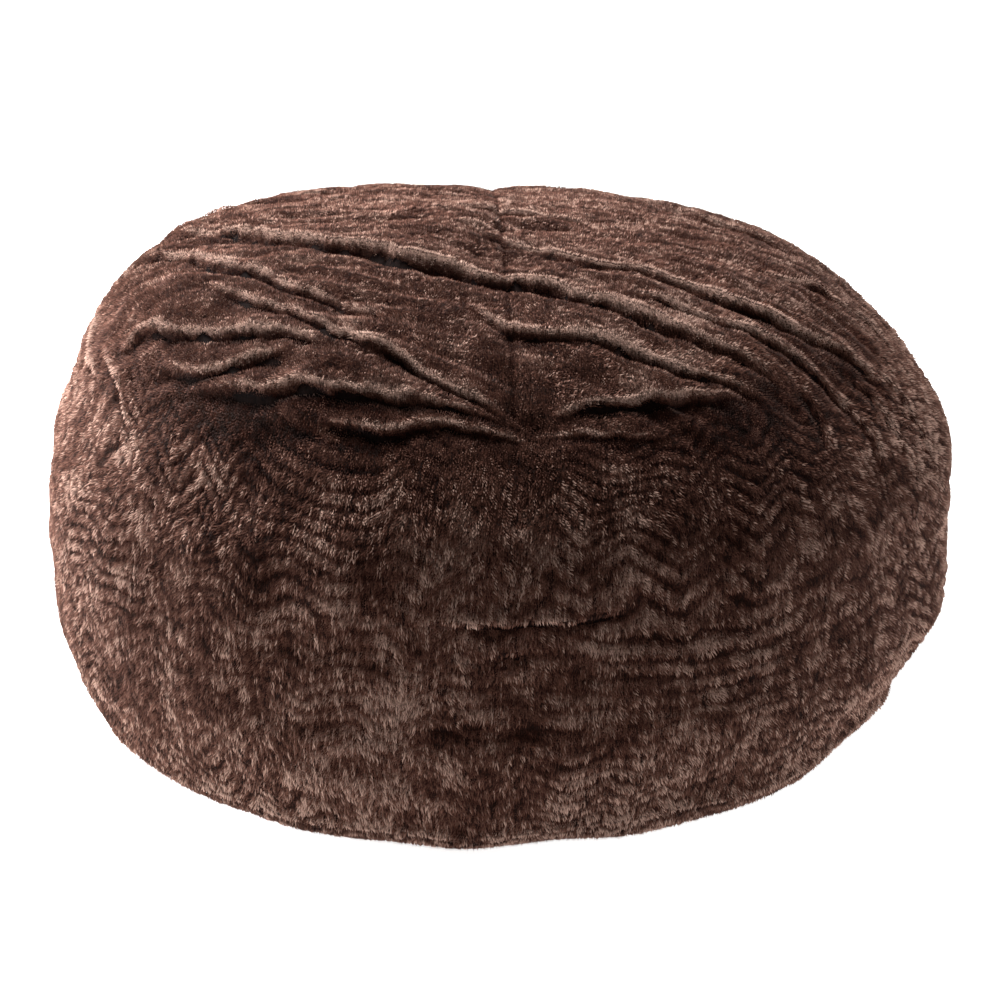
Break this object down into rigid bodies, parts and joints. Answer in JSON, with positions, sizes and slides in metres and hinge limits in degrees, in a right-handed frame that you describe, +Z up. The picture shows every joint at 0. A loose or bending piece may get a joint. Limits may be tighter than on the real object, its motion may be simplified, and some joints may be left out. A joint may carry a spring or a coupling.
{
  "type": "bean bag chair",
  "caption": "Large round foam-filled bean bag chair with a plush fur cover, an inner lining bag, and a zipper along the base seam at the back.",
  "frame": {"origin": "centre of the footprint on the floor", "axes": "+Z up through the middle of the bag; the front seam of the cover is towards -Y and the zippers are at the back, towards +Y"},
  "size_m": [1.52, 1.52, 0.86],
  "materials": {
    "fur_cover": "short dense plush pile, dark brown",
    "lining_cloth": "plain woven lining",
    "foam": "shredded open-cell foam",
    "zip_tape": "woven twill tape",
    "zip_coil": "satin monofilament coil",
    "zip_metal": "dark bronze"
  },
  "bodies": {
    "bag": {"cover_front_left_panel": "fur_cover", "cover_front_right_panel": "fur_cover", "cover_back_left_panel": "fur_cover", "cover_back_right_panel": "fur_cover", "cover_base_panel": "fur_cover", "cover_zip_upper_tape": "zip_tape", "cover_zip_lower_tape": "zip_tape", "cover_zip_upper_coil": "zip_coil", "cover_zip_lower_coil": "zip_coil", "cover_zip_open_end_stop": "zip_metal", "cover_zip_closed_end_stop": "zip_metal", "lining_front_left_panel": "lining_cloth", "lining_front_right_panel": "lining_cloth", "lining_back_left_panel": "lining_cloth", "lining_back_right_panel": "lining_cloth", "lining_base_panel": "lining_cloth", "lining_zip_upper_tape": "zip_tape", "lining_zip_lower_tape": "zip_tape", "lining_zip_upper_coil": "zip_coil", "lining_zip_lower_coil": "zip_coil", "lining_zip_open_end_stop": "zip_metal", "lining_zip_closed_end_stop": "zip_metal", "foam_fill": "foam"},
    "cover_slider": {"cover_zip_slider": "zip_metal"},
    "pull_ring": {"cover_zip_pull_ring": "zip_metal"},
    "pull_tab": {"cover_zip_pull_tab": "zip_metal"},
    "lining_slider": {"lining_zip_slider": "zip_metal"}
  },
  "joints": [
    {"name": "cover_zip_travel", "type": "hinge", "parent": "bag", "child": "cover_slider", "pos_m": [0, 0, 0.08466], "axis": [0, 0, 1], "range_deg": [-136.4, 0]},
    {"name": "pull_ring_swing", "type": "hinge", "parent": "cover_slider", "child": "pull_ring", "pos_m": [-0.62707, 0.25074, 0.08466], "axis": [0.3713, 0.9285, 0], "range_deg": [-12, 100]},
    {"name": "pull_tab_swing", "type": "hinge", "parent": "pull_ring", "child": "pull_tab", "pos_m": [-0.62707, 0.25074, 0.07685], "axis": [-0.9285, 0.3713, 0], "range_deg": [-85, 85]},
    {"name": "lining_zip_travel", "type": "hinge", "parent": "bag", "child": "lining_slider", "pos_m": [0, 0, 0.147], "axis": [0, 0, 1], "range_deg": [-96.4, 0]}
  ]
}
